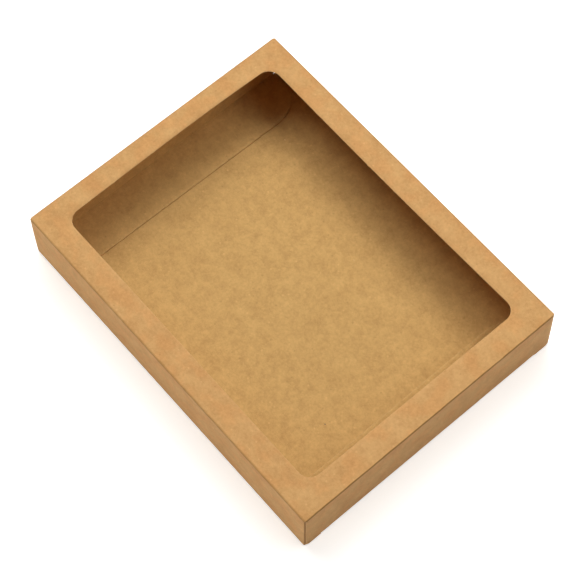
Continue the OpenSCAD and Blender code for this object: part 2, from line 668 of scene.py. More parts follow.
def paper_group() -> bpy.types.NodeTree:
    """Builds the shared effect of kraft paper: mottle, lying fibres, flecks and tooth.

    Returns:
        A node group with the inputs Place, Ground, Dark, Pale, Fibre, Mottle and Blush,
        and the outputs Color, Roughness and Height.
    """
    group = bpy.data.node_groups.new("Kraft paper", "ShaderNodeTree")
    face = group.interface
    face.new_socket("Place", in_out="INPUT", socket_type="NodeSocketVector")
    for label in ("Ground", "Dark", "Pale"):
        face.new_socket(label, in_out="INPUT", socket_type="NodeSocketColor")
    for label in ("Fibre", "Mottle", "Blush"):
        face.new_socket(label, in_out="INPUT", socket_type="NodeSocketFloat")
    face.new_socket("Color", in_out="OUTPUT", socket_type="NodeSocketColor")
    for label in ("Roughness", "Height"):
        face.new_socket(label, in_out="OUTPUT", socket_type="NodeSocketFloat")
    bench = Bench(group)
    given = bench.add("NodeGroupInput").outputs
    result = bench.add("NodeGroupOutput").inputs
    place = given["Place"]

    cloud = bench.noise(place, 80.0, 2.0)
    patch = bench.noise(place, 210.0, 2.0, 0.55)
    grain = bench.noise(place, 650.0, 2.5, 0.6)
    tooth = bench.noise(place, 4200.0, 2.0, 0.6)
    mottle = 0.0
    for clouds, weight in ((cloud, 0.75), (patch, 0.95), (grain, 0.90), (tooth, 0.40)):
        mottle = bench.math("MULTIPLY_ADD", bench.math("SUBTRACT", clouds, 0.5), weight, mottle)
    mottle = bench.math("MULTIPLY", mottle, given["Mottle"])

    pale_fibres, dark_fibres = None, None
    layers = (
        (0.15, 2.1, 0.17, 0.60), (0.95, 1.5, 0.15, 0.62),
        (1.75, 1.8, 0.16, 0.61), (2.60, 1.3, 0.14, 0.62),
    )
    for k, (angle, length, width, edge) in enumerate(layers):
        lay = bench.add("ShaderNodeMapping", vector_type="TEXTURE")
        bench.feed(lay.inputs["Vector"], place)
        lay.inputs["Location"].default_value = (0.013 * k, -0.021 * k, 0.0)
        lay.inputs["Rotation"].default_value = (0.0, 0.0, angle)
        lay.inputs["Scale"].default_value = (length * MM, width * MM, 0.06 * MM)
        strand = bench.noise(lay.outputs[0], 1.0, 1.0)
        mask = bench.step(strand, edge, edge + 0.09)
        if k % 2:
            dark_fibres = mask if dark_fibres is None else bench.math("MAXIMUM", dark_fibres, mask)
        else:
            pale_fibres = mask if pale_fibres is None else bench.math("MAXIMUM", pale_fibres, mask)
    pale_fibres = bench.math("MULTIPLY", pale_fibres, given["Fibre"])
    dark_fibres = bench.math("MULTIPLY", dark_fibres, given["Fibre"])

    flecks = bench.add("ShaderNodeTexVoronoi", feature="F1")
    bench.feed(flecks.inputs["Vector"], place)
    flecks.inputs["Scale"].default_value = 400.0
    draw = bench.add("ShaderNodeSeparateColor")
    bench.feed(draw.inputs[0], flecks.outputs["Color"])
    spot = bench.step(flecks.outputs["Distance"], 0.05, 0.30, 1.0, 0.0)
    dark_spot = bench.math("MULTIPLY", spot, bench.step(draw.outputs[0], 0.80, 0.97))
    pale_spot = bench.math("MULTIPLY", spot, bench.step(draw.outputs[1], 0.80, 0.97))
    blush = bench.step(bench.noise(place, 105.0, 2.0), 0.42, 0.64)

    colour = bench.blend(bench.math("ADD", 0.5, mottle, clamp=True), given["Dark"], given["Pale"])
    colour = bench.blend(0.42, given["Ground"], colour)
    for mask, share, tone in (
        (pale_fibres, 0.40, "Pale"), (dark_fibres, 0.38, "Dark"),
        (dark_spot, 0.42, "Dark"), (pale_spot, 0.50, "Pale"),
    ):
        colour = bench.blend(bench.math("MULTIPLY", mask, share), colour, given[tone])
    rosy = bench.math("MULTIPLY", blush, given["Blush"])
    colour = bench.blend(rosy, colour, (1.0, 0.92, 0.86, 1.0), "MULTIPLY")
    bench.feed(result["Color"], colour)
    rough = bench.math("MULTIPLY_ADD", grain, 0.16, 0.74)
    bench.feed(result["Roughness"], rough)
    height = bench.math("MULTIPLY", tooth, 0.35)
    for relief, share in ((grain, 0.5), (pale_fibres, 0.30), (dark_fibres, 0.22), (patch, 0.40)):
        height = bench.math("MULTIPLY_ADD", relief, share, height)
    bench.feed(result["Height"], height)
    return group


@dataclass(frozen=True)
class KraftFinish:
    """One face of the kraft board, as a material made with the shared paper effect.

    Attributes:
        name: The material's name.
        ground: Its middle colour.
        dark: The colour of its dark fibres.
        pale: The colour of its pale fibres.
        crease_shade_colour: The darker colour painted along a crease: the score line's own tone together
            with painted shade in the fold.
        crease_shade_strength: How strongly that painted crease shade shows.
        fibre: How strongly single fibres show.
        mottle: How cloudy it is.
        blush: How strongly its warmer patches show.
        bump: Height of its tooth, in metres.
        sheen: Weight of the soft sheen of its loose fibres.
    """

    name: str
    ground: tuple[float, float, float, float]
    dark: tuple[float, float, float, float]
    pale: tuple[float, float, float, float]
    crease_shade_colour: tuple[float, float, float, float]
    crease_shade_strength: float = 0.85
    fibre: float = 0.6
    mottle: float = 1.0
    blush: float = 0.0
    bump: float = 0.00005
    sheen: float = 0.03

    def material(self, paper: bpy.types.NodeTree) -> bpy.types.Material:
        """Builds the material.

        Args:
            paper: The shared paper group.

        Returns:
            The material.
        """
        made = bpy.data.materials.new(self.name)
        made.use_nodes = True
        made.diffuse_color = self.ground
        bench = Bench(made.node_tree)
        place = bench.add("ShaderNodeAttribute", attribute_name="sheet_place").outputs["Vector"]
        crease = bench.add("ShaderNodeAttribute", attribute_name="crease").outputs["Fac"]
        fibres = bench.add("ShaderNodeGroup", node_tree=paper)
        bench.feed(fibres.inputs["Place"], place)
        for label, value in (
            ("Ground", self.ground), ("Dark", self.dark), ("Pale", self.pale),
            ("Fibre", self.fibre), ("Mottle", self.mottle), ("Blush", self.blush),
        ):
            fibres.inputs[label].default_value = value
        shader = bench.add("ShaderNodeBsdfPrincipled")
        # Painted shade: the crease mask darkens the colour towards the darker crease colour, standing in
        # for the shade in each fold, on top of the score line's own tone.
        pressed = bench.math("MULTIPLY", crease, self.crease_shade_strength, clamp=True)
        colour = bench.blend(pressed, fibres.outputs["Color"], self.crease_shade_colour)
        bench.feed(shader.inputs["Base Color"], colour)
        bench.feed(shader.inputs["Roughness"], fibres.outputs["Roughness"])
        bump = bench.add("ShaderNodeBump")
        bump.inputs["Strength"].default_value = 0.6
        bump.inputs["Distance"].default_value = self.bump
        bench.feed(bump.inputs["Height"], fibres.outputs["Height"])
        bench.feed(shader.inputs["Normal"], bump.outputs[0])
        shader.inputs["Specular IOR Level"].default_value = 0.28
        shader.inputs["Sheen Weight"].default_value = self.sheen
        shader.inputs["Sheen Roughness"].default_value = 0.6
        output = bench.add("ShaderNodeOutputMaterial")
        bench.feed(output.inputs["Surface"], shader.outputs[0])
        return made


# Each finish's darker crease colour is painted shade along the folds, together with the score line's own
# tone.
KRAFT_OUTSIDE = KraftFinish(
    "Kraft outside",
    ground=srgb(213, 162, 100),
    dark=srgb(178, 126, 70),
    pale=srgb(237, 192, 131),
    crease_shade_colour=srgb(140, 98, 46),
    fibre=0.55,
    mottle=1.2,
    blush=0.9,
)
KRAFT_INSIDE = KraftFinish(
    "Kraft inside",
    ground=srgb(209, 163, 97),
    dark=srgb(166, 126, 71),
    pale=srgb(236, 194, 124),
    crease_shade_colour=srgb(150, 106, 52),
    crease_shade_strength=0.12,
    fibre=0.75,
    mottle=1.2,
)
KRAFT_CUT = KraftFinish(
    "Kraft cut edge",
    ground=srgb(218, 173, 114),
    dark=srgb(182, 134, 78),
    pale=srgb(240, 204, 150),
    crease_shade_colour=srgb(160, 116, 62),
    crease_shade_strength=0.5,
    fibre=0.9,
    bump=0.00008,
)


# The folded sheet


class KraftSheet:
    """What all pieces of the box share: the stock, the sizes, the finishes, the sheet's plan.

    The sheet's plan has U along the box and V round the tube, from the free edge of the
    glue flap over the bottom, the left side and the top to the cut edge of the right side.
    """

    lean_power: float = 1.5

    def __init__(self) -> None:
        """Works the plan out and builds the finishes."""
        self.board = BoardStock()
        self.sizes = BoxSizes.from_frame(self.board)
        b, s = self.board, self.sizes
        fold = (b.fold_length, -QUARTER)
        glue_fold_y = s.half_w - b.thickness - b.fold_outside
        self.tube = FoldPath(
            (s.half_w - 1.5 * b.thickness, s.glue_h),
            -QUARTER,
            [
                (s.glue_h - b.fold_outside, 0.0),
                fold,
                (glue_fold_y + s.half_w - b.fold_outside, 0.0),
                fold,
                (s.height - 2 * b.fold_outside, 0.0),
                fold,
                (2 * (s.half_w - b.fold_outside), 0.0),
                fold,
                (s.height - b.fold_outside, 0.0),
            ],
        )
        (
            _, self.glue_fold_v, self.bottom_v, self.bottom_end_v, self.left_v, self.left_end_v,
            self.top_v, self.top_end_v, self.right_v, self.right_end_v,
        ) = self.tube.starts
        self.top_middle_v = (self.top_v + self.top_end_v) / 2
        paper = paper_group()
        self.materials = {
            Face.OUTER: KRAFT_OUTSIDE.material(paper),
            Face.INNER: KRAFT_INSIDE.material(paper),
            Face.CUT: KRAFT_CUT.material(paper),
        }

    def settle(self, folded: np.ndarray) -> np.ndarray:
        """Lets the left side and the front end lean in a little towards the top.

        Args:
            folded: Points of the folded box.

        Returns:
            The same points after the lean.
        """
        s = self.sizes
        up = np.clip(folded[:, 2] / s.height, 0, 1) ** self.lean_power
        left = np.clip((-s.half_w + s.window_left - folded[:, 1]) / s.window_left, 0, 1)
        front = np.clip((folded[:, 0] - s.half_l + s.window_front) / s.window_front, 0, 1)
        leant = folded.copy()
        leant[:, 0] -= s.front_lean * up * front
        leant[:, 1] += s.left_lean * up * left
        return leant

    @staticmethod
    def wander(along: np.ndarray) -> np.ndarray:
        """How far a pressed crease strays from its true line, in millimetres."""
        return 0.07 * np.sin(0.31 * along + 0.8) + 0.05 * np.sin(0.83 * along + 2.0)

    @staticmethod
    def bump_at(x: np.ndarray, middle: float | np.ndarray, half: float) -> np.ndarray:
        """A round hump from 0 at either side of the middle to 1 on it."""
        share = np.clip(1 - np.abs(x - middle) / half, 0, 1)
        return share * share * (3 - 2 * share)


class Carton:
    """The tube with its window, the glue flap and the four dust flaps."""

    rail_sag: float = 0.8
    left_sag_share: float = 0.25
    sag_power: float = 1.6
    rear_bow: float = 0.75
    right_bow: float = 0.38
    rear_nicks: tuple[tuple[float, float], ...] = ((-9.4, 0.35), (-35.5, 0.3))
    right_nicks: tuple[tuple[float, float], ...] = ((-16.4, -0.3), (2.8, -0.35))

    def __init__(self, sheet: KraftSheet) -> None:
        """Keeps the sheet and lays out the path of a dust flap.

        Args:
            sheet: The sheet that the carton is part of.
        """
        self.sheet = sheet
        b, s = sheet.board, sheet.sizes
        self.dust = FoldPath(
            (s.side_end, s.half_w - b.half),
            0.0,
            [(b.fold_length, -QUARTER), (s.dust_l - b.fold_outside, 0.0)],
        )

    def tuck_rise(self, outwards: float) -> float:
        """How far a level tuck flap has risen once it has moved outwards.

        Args:
            outwards: How far it has moved.

        Returns:
            Its rise.
        """
        b, s = self.sheet.board, self.sheet.sizes
        inset = b.fold_outside * (1 - math.sqrt(0.5))
        arm_x = b.fold_outside - inset
        arm_z = s.height - inset - s.tuck_z - b.fold_outside
        arm, lean = math.hypot(arm_x, arm_z), math.atan2(arm_x, arm_z)
        swing = min(s.open_angle, lean + math.asin(min(1.0, (outwards - arm_x) / arm)))
        return arm * (math.cos(lean) - math.cos(swing - lean))

    def dust_outline(self) -> np.ndarray:
        """A dust flap's outline, which clears the way of the tuck flap's corner.

        Returns:
            Its points as length from its fold's start and height, bottom first.
        """
        b, s = self.sheet.board, self.sheet.sizes
        rise = []
        for angle in np.linspace(0, QUARTER, ARC_STEPS + 1):
            y = s.tuck_half_w - s.tuck_corner_r * (1 - math.cos(angle))
            outwards = s.tuck_reach - s.tuck_corner_r * (1 - math.sin(angle)) - b.thickness - s.dust_gap
            z = s.tuck_z + b.thickness + s.sweep_gap + self.tuck_rise(outwards)
            rise.append((self.dust_along(y), z))
        high = rise[-1][1]
        top = s.height - b.thickness - s.dust_top_gap
        free = self.dust.total - s.dust_corner_r
        lower = arc_points((free, high + s.dust_corner_r), s.dust_corner_r, -90, 0, ARC_STEPS)
        upper = arc_points((free, top - s.dust_corner_r), s.dust_corner_r, 0, 90, ARC_STEPS)
        foot = [(0.0, s.dust_foot), (b.fold_length, s.dust_foot)]
        step = b.fold_length + 0.5
        high = s.height - b.thickness - s.dust_root_gap
        root = [(step + 1.0, top), (step, high), (0.0, high)]
        return np.array([*foot, *rise, *lower, *upper, *root])

    def dust_along(self, y: float) -> float:
        """Length along a dust flap from its fold's start to where it is y off the middle."""
        b, s = self.sheet.board, self.sheet.sizes
        return b.fold_length + (s.half_w - b.fold_outside - y)

    def outline(self) -> np.ndarray:
        """Draws the carton's outline in the sheet.

        Returns:
            Its corner points, anticlockwise.
        """
        sheet, b, s = self.sheet, self.sheet.board, self.sheet.sizes
        foot = s.half_l - s.glue_inset
        dust = self.dust_outline()
        left = [(s.side_end + u, sheet.left_v + z - b.fold_outside) for u, z in dust]
        right = [(s.side_end + u, sheet.right_end_v - z) for u, z in dust[::-1]]
        half = [
            (foot - s.glue_slant, 0.0),
            (foot, sheet.glue_fold_v),
            (s.bottom_end, sheet.glue_fold_v),
            (s.bottom_end, sheet.bottom_v),
            (s.bottom_end, sheet.bottom_end_v),
            (s.side_end, sheet.bottom_end_v),
            *left,
            (s.side_end, sheet.left_end_v),
            (s.top_end, sheet.left_end_v),
            (s.top_end, sheet.top_v),
            (s.top_end, sheet.top_end_v),
            (s.top_end, sheet.right_v),
            (s.side_end, sheet.right_v),
            *right,
            (s.side_end, sheet.right_end_v),
        ]
        other = [(-u, v) for u, v in reversed(half)]
        return np.array(half + other)

    def window(self) -> np.ndarray:
        """Draws the window in the sheet, with its slightly bowed rear and right edges.

        Returns:
            Its points, clockwise.
        """
        sheet, s = self.sheet, self.sheet.sizes
        u0, u1 = -s.half_l + s.window_rear, s.half_l - s.window_front
        v0 = sheet.top_middle_v - s.half_w + s.window_left
        v1 = sheet.top_middle_v + s.half_w - s.window_right
        r, q = s.window_rear_r, s.window_front_r
        corners = [
            arc_points((u0 + r, v0 + r), r, 270, 180, ARC_STEPS),
            arc_points((u0 + r, v1 - r), r, 180, 90, ARC_STEPS),
            arc_points((u1 - q, v1 - q), q, 90, 0, ARC_STEPS),
            arc_points((u1 - q, v0 + q), q, 0, -90, ARC_STEPS),
        ]
        rear = np.linspace(v0 + r, v1 - r, 160)[1:-1]
        rear_y = rear - sheet.top_middle_v
        rear_off = self.nicks(rear_y, self.rear_nicks) - self.edge_bow(rear, self.rear_bow, 0.12)
        right = np.linspace(u0 + r, u1 - q, 200)[1:-1]
        right_off = self.nicks(right, self.right_nicks) - self.edge_bow(right, self.right_bow, 0.0)
        rear_edge = np.column_stack([u0 + rear_off, rear])
        right_edge = np.column_stack([right, v1 + right_off])
        return np.concatenate([corners[0], rear_edge, corners[1], right_edge, corners[2], corners[3]])

    @staticmethod
    def edge_bow(along: np.ndarray, depth: float, skew: float) -> np.ndarray:
        """A shallow bow between the two ends of a cut edge.

        Args:
            along: Places along the edge, in order.
            depth: The bow's depth.
            skew: How far past the middle it is deepest.

        Returns:
            How far the edge bows at each place.
        """
        middle, half = (along[0] + along[-1]) / 2, (along[-1] - along[0]) / 2
        share = (along - middle) / half
        return depth * (1 - share**2) * (1 + 4 * skew * share)

    @staticmethod
    def nicks(along: np.ndarray, burrs: tuple[tuple[float, float], ...]) -> np.ndarray:
        """Small burrs left on a cut edge, each given by its place and its height."""
        return sum(height * np.exp(-(((along - place) / NICK_HALF) ** 2)) for place, height in burrs)

    def lattice(self) -> tuple[np.ndarray, np.ndarray]:
        """Spaces the carton's lattice, finely across its folds.

        Returns:
            The lines across U and the lines across V.
        """
        sheet, b, s = self.sheet, self.sheet.board, self.sheet.sizes
        fine = b.fold_length / 6
        side = [
            (s.side_end - FOLD_MARGIN, FOLD_STEP), (s.side_end, fine),
            (s.side_end + b.fold_length, FOLD_STEP),
            (s.side_end + b.fold_length + FOLD_MARGIN, DUST_STEP), (s.side_end + self.dust.total, 0.0),
        ]
        right = stations(side)
        middle = stations([(-s.side_end + FOLD_MARGIN, PANEL_STEP), (s.side_end - FOLD_MARGIN, 0.0)])
        lines_u = np.concatenate([-right[::-1], middle[1:-1], right])
        marks = [(0.0, GLUE_STEP)]
        for fold_v, end_v in (
            (sheet.glue_fold_v, sheet.bottom_v), (sheet.bottom_end_v, sheet.left_v),
            (sheet.left_end_v, sheet.top_v), (sheet.top_end_v, sheet.right_v),
        ):
            marks += [(fold_v - FOLD_MARGIN, FOLD_STEP), (fold_v, fine)]
            marks += [(end_v, FOLD_STEP), (end_v + FOLD_MARGIN, PANEL_STEP)]
        marks.append((sheet.right_end_v, 0.0))
        return lines_u, stations(marks)

    def crease_shade_mask(self, flat: np.ndarray) -> np.ndarray:
        """How strongly each point is darkened along a fold's crease: the score line's own tone plus
        painted shade in the fold.

        Args:
            flat: Points of the flat sheet.

        Returns:
            A share from 0 to 1 for each.
        """
        sheet, b, s = self.sheet, self.sheet.board, self.sheet.sizes
        u, v = np.abs(flat[:, 0]), flat[:, 1]
        pressed = np.zeros(len(flat))
        # For each crease: its fold, the half width and the depth of its darkening, score line plus
        # painted shade
        creases = (
            (sheet.glue_fold_v, 0.7, 0.8), (sheet.bottom_end_v, 0.7, 0.9),
            (sheet.left_end_v, 1.0, 0.5), (sheet.top_end_v, 0.7, 0.45),
        )
        for fold_v, half, depth in creases:
            middle = fold_v + b.fold_length / 2 + sheet.wander(flat[:, 0])
            pressed = np.maximum(pressed, depth * sheet.bump_at(v, middle, half))
        in_side = ((v > sheet.left_v) & (v < sheet.left_end_v)) | (v > sheet.right_v)
        # Painted shade along each dust flap's fold, where the shaded gap at the box's vertical corners
        # shows.
        at_dust = sheet.bump_at(u, s.side_end + b.fold_length * 0.9, 0.5)
        return np.where(in_side, np.maximum(pressed, at_dust), pressed)

    def warp(self, flat: np.ndarray) -> np.ndarray:
        """How far the board's middle stands off its true plane.

        Args:
            flat: Points of the flat sheet.

        Returns:
            The distance at each, outwards positive.
        """
        sheet, s = self.sheet, self.sheet.sizes
        u, v = flat[:, 0], flat[:, 1]
        y = v - sheet.top_middle_v
        on_top = (v > sheet.top_v) & (v < sheet.top_end_v)
        over = np.clip((s.half_w - np.abs(y)) / s.window_right, 0, 1) ** self.sag_power
        along = np.clip(1 - (u / (s.half_l - s.window_front)) ** 2, 0, 1)
        depth = np.where(y > 0, self.rail_sag, self.left_sag_share * self.rail_sag)
        sag = depth * over * along
        return np.where(on_top, -sag, 0.0)

    def fold(self, points: np.ndarray) -> np.ndarray:
        """Folds the carton up from the flat sheet.

        Args:
            points: Points of the flat sheet as (u, v, lift).

        Returns:
            The same points in the box.
        """
        sheet, b, s = self.sheet, self.sheet.board, self.sheet.sizes
        u, v, lift = points.T
        folded = np.column_stack([u, sheet.tube.place(v, lift)])
        top = s.height - b.thickness - s.dust_root_gap + NEARLY_ZERO
        beyond = (np.abs(u) > s.side_end) & (folded[:, 2] < top)
        side_panel = ((v > sheet.left_v) & (v < sheet.left_end_v)) | (v > sheet.right_v)
        flap = beyond & side_panel
        turned = self.dust.place(np.abs(u[flap]) - s.side_end, lift[flap])
        folded[flap, 0] = np.sign(u[flap]) * turned[:, 0]
        folded[flap, 1] = np.sign(folded[flap, 1]) * turned[:, 1]
        return sheet.settle(folded)

    def build(self) -> bpy.types.Object:
        """Cuts, creases and folds the carton.

        Returns:
            The object, riding on the box.
        """
        sheet, s = self.sheet, self.sheet.sizes
        lines_u, lines_v = self.lattice()
        ends = (s.top_end, -s.top_end)
        seams = [((end, sheet.top_v), (end, sheet.top_end_v)) for end in ends]
        thick = thicken(FlatPiece(self.outline(), lines_u, lines_v, [self.window()], seams), sheet.board)
        # Painted shade along the folds, with the score lines, carried to the finish as a per-point mask.
        pressed = self.crease_shade_mask(thick.points[:, :2])
        bent = thick.points.copy()
        bent[:, 2] += self.warp(thick.points[:, :2])
        made = piece_object(
            "carton_board", thick, self.fold(bent), thick.points, pressed, False, sheet.materials
        )
        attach(made, "box")
        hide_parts("carton")
        return made


class Closure:
    """The closure of one end: end panel, tuck flap and the two creases that turn."""

    tuck_lift: float = 0.2
    upper_margin: float = 1.2
    lower_margin: float = 0.6

    def __init__(self, sheet: KraftSheet, end: End) -> None:
        """Keeps the sheet and lays out the closure's path.

        Args:
            sheet: The sheet that the closure is part of.
            end: The end of the box that it closes.
        """
        self.sheet = sheet
        self.end = end
        b, s = sheet.board, sheet.sizes
        self.run = s.height - b.fold_outside - (s.tuck_z + b.fold_outside)
        self.path = FoldPath(
            (s.top_end, s.height - b.half),
            0.0,
            [
                (b.fold_length, -QUARTER),
                (self.run, 0.0),
                (b.fold_length, -QUARTER),
                (s.tuck_reach - b.fold_outside, 0.0),
            ],
        )
        _, self.panel_u, self.tuck_fold_u, self.tuck_u, self.free_u = self.path.starts
        self.upper_seam = self.panel_u + self.upper_margin
        self.lower_seam = self.tuck_fold_u - self.lower_margin
        self.flap_seam = self.tuck_u + self.lower_margin
        self.half_w = s.panel_half_w - s.end_cut
        self.fold_half_w = s.panel_half_w - s.slit_l

    def folded(self, points: np.ndarray) -> np.ndarray:
        """Folds points to this end of the box.

        Args:
            points: Points as (length along the path, y, lift).

        Returns:
            The same points in the box.
        """
        plane = self.path.place(points[:, 0], points[:, 2])
        x = self.end.value * plane[:, 0]
        return self.sheet.settle(np.column_stack([x, points[:, 1], plane[:, 1]]))

    def flat_panel(self, points: np.ndarray) -> np.ndarray:
        """Places points of the end panel, which runs straight down past its tuck fold.

        Args:
            points: Points as (length along the path, y, lift).

        Returns:
            The same points in the box.
        """
        b, s = self.sheet.board, self.sheet.sizes
        x = s.half_l - b.half + points[:, 2]
        z = s.height - b.fold_outside - (points[:, 0] - self.panel_u)
        return self.sheet.settle(np.column_stack([self.end.value * x, points[:, 1], z]))

    def flat_flap(self, points: np.ndarray) -> np.ndarray:
        """Places points of the tuck flap, whose free edge stands a little off the bottom.

        Args:
            points: Points as (length along the path, y, lift).

        Returns:
            The same points in the box.
        """
        s = self.sheet.sizes
        straight = self.folded(points)
        share = np.clip((points[:, 0] - self.flap_seam) / (self.free_u - self.flap_seam), 0, 1)
        straight[:, 2] += self.tuck_lift * share**2
        return straight

    def crease_shade_mask(self, points: np.ndarray) -> np.ndarray:
        """How strongly each point is darkened along the closure's two creases: the score line's own tone
        plus painted shade in the folds.

        Args:
            points: Points as (length along the path, y, lift).

        Returns:
            A share from 0 to 1 for each.
        """
        fold = self.sheet.board.fold_length
        along, wander = points[:, 0], self.sheet.wander(points[:, 1])
        # Painted shade along the top fold, and a little weaker along the tuck fold, on top of their score
        # lines.
        upper = self.sheet.bump_at(along, fold * 0.7 + wander, 0.72)
        lower = 0.8 * self.sheet.bump_at(along, self.tuck_fold_u + fold / 2 + wander, 0.7)
        return np.maximum(upper, lower)

    def sheet_place(self, points: np.ndarray) -> np.ndarray:
        """Where the closure's points lie in the flat sheet, for its paper grain.

        Args:
            points: Points as (length along the path, y, lift).

        Returns:
            The same points in the sheet.
        """
        s = self.sheet.sizes
        place = points.copy()
        place[:, 0] = self.end.value * (s.top_end + points[:, 0])
        place[:, 1] = self.sheet.top_middle_v + points[:, 1]
        return place

    def make(
        self, name: str, piece: FlatPiece, placed: Callable[[np.ndarray], np.ndarray]
    ) -> bpy.types.Object:
        """Cuts one piece of the closure and puts it in place.

        Args:
            name: The last part of the piece's name.
            piece: Its outline and lattice.
            placed: The method that folds its points.

        Returns:
            The object, riding on nothing yet.
        """
        thick = thicken(piece, self.sheet.board)
        # Painted shade along the folds, with the score lines, carried to the finish as a per-point mask.
        pressed = self.crease_shade_mask(thick.points)
        flip = self.end is End.REAR
        folded, place = placed(thick.points), self.sheet_place(thick.points)
        return piece_object(
            f"{self.end.word}_{name}", thick, folded, place, pressed, flip, self.sheet.materials
        )

    @staticmethod
    def across(half: float) -> np.ndarray:
        """Lattice lines from one side of the closure to the other."""
        return stations([(-half, PANEL_STEP), (half, 0.0)])

    def top_crease(self) -> bpy.types.Object:
        """The fold between the top panel and the end panel.

        Returns:
            The piece.
        """
        b, s = self.sheet.board, self.sheet.sizes
        root, full = s.half_w - b.fold_outside, self.half_w
        outline = np.array([
            (0.0, -root), (self.panel_u, -full), (self.upper_seam, -full),
            (self.upper_seam, full), (self.panel_u, full), (0.0, root),
        ])
        seams = [((0.0, -root), (0.0, root)), ((self.upper_seam, -full), (self.upper_seam, full))]
        lines = stations([(0.0, b.fold_length / 8), (self.panel_u, 0.2), (self.upper_seam, 0.0)])
        piece = FlatPiece(outline, lines, self.across(full), [], seams)
        made = self.make("top_crease", piece, self.folded)
        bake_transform(made)
        return made

    def end_panel(self) -> bpy.types.Object:
        """The end panel, with a slit-lock tip at each lower corner.

        Returns:
            The piece.
        """
        b, s = self.sheet.board, self.sheet.sizes
        full, slit = self.half_w, self.fold_half_w + s.slit_gap
        tip = self.panel_u + s.height - b.fold_outside - s.tip_gap
        cut = s.tip_chamfer
        outline = np.array([
            (self.upper_seam, -full), (tip - cut, -full), (tip, -full + cut), (tip, -slit),
            (self.lower_seam, -slit), (self.lower_seam, slit),
            (tip, slit), (tip, full - cut), (tip - cut, full), (self.upper_seam, full),
        ])
        seams = [
            ((self.upper_seam, -full), (self.upper_seam, full)),
            ((self.lower_seam, -slit), (self.lower_seam, slit)),
        ]
        lines = stations([(self.upper_seam, 1.6), (self.lower_seam, 0.4), (tip, 0.0)])
        piece = FlatPiece(outline, lines, self.across(full), [], seams)
        made = self.make("end_panel_board", piece, self.flat_panel)
        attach(made, f"{self.end.word}_closure")
        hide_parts(f"{self.end.word}_end_panel")
        return made

    def tuck_crease(self) -> bpy.types.Object:
        """The fold between the end panel and the tuck flap.

        Returns:
            The piece.
        """
        b, s = self.sheet.board, self.sheet.sizes
        half = self.fold_half_w
        outline = np.array([
            (self.lower_seam, -half), (self.flap_seam, -half),
            (self.flap_seam, half), (self.lower_seam, half),
        ])
        seams = [
            ((self.lower_seam, -half), (self.lower_seam, half)),
            ((self.flap_seam, -half), (self.flap_seam, half)),
        ]
        lines = stations([
            (self.lower_seam, 0.3), (self.tuck_fold_u, b.fold_length / 8),
            (self.tuck_u, 0.3), (self.flap_seam, 0.0),
        ])
        piece = FlatPiece(outline, lines, self.across(half), [], seams)
        made = self.make("tuck_crease", piece, self.folded)
        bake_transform(made)
        return made

    def tuck_flap(self) -> bpy.types.Object:
        """The tuck flap that lies on the bottom panel, with its two round free corners.

        Returns:
            The piece.
        """
        s = self.sheet.sizes
        fold, full = self.fold_half_w, s.tuck_half_w
        deep, wide = s.tuck_corner_deep, s.tuck_corner_wide
        root = self.tuck_u - (s.half_l - self.sheet.board.thickness - s.slit_gap - s.top_end)
        free = self.free_u - s.tuck_short
        quarter = arc_points((0.0, 0.0), 1.0, 0, 90, 2 * ARC_STEPS)
        upper = np.column_stack([free - deep + deep * quarter[:, 0], full - wide + wide * quarter[:, 1]])
        lower = np.column_stack([upper[::-1, 0] - s.tuck_slant, -upper[::-1, 1]])
        outline = np.array([
            (self.flap_seam, -fold), (root, -fold), (root, -full), *lower,
            *upper, (root, full), (root, fold), (self.flap_seam, fold),
        ])
        seams = [((self.flap_seam, -fold), (self.flap_seam, fold))]
        lines = stations([(root, 0.4), (self.flap_seam, 1.6), (free, 0.0)])
        piece = FlatPiece(outline, lines, self.across(full), [], seams)
        made = self.make("tuck_flap_board", piece, self.flat_flap)
        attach(made, f"{self.end.word}_tuck")
        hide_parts(f"{self.end.word}_tuck_flap")
        return made

    def build(self) -> list[bpy.types.Object]:
        """Builds the whole closure.

        Returns:
            Its four pieces, from the top down.
        """
        return [self.top_crease(), self.end_panel(), self.tuck_crease(), self.tuck_flap()]


# Studio


@dataclass(frozen=True)
class Softbox:
    """One soft studio lamp."""

    name: str
    place: tuple[float, float, float]
    size: float
    power: float
    colour: tuple[float, float, float] = (1.0, 1.0, 1.0)

    def hang(self, aim: Vector) -> bpy.types.Object:
        """Hangs the lamp and points it.

        Args:
            aim: The point that it faces.

        Returns:
            The lamp.
        """
        lamp = bpy.data.lights.new(self.name, "AREA")
        lamp.shape = "DISK"
        lamp.size = self.size
        lamp.energy = self.power
        lamp.color = self.colour
        made = bpy.data.objects.new(self.name, lamp)
        made.location = self.place
        made.rotation_euler = (aim - Vector(self.place)).to_track_quat("-Z", "Y").to_euler()
        bpy.context.scene.collection.objects.link(made)
        return made


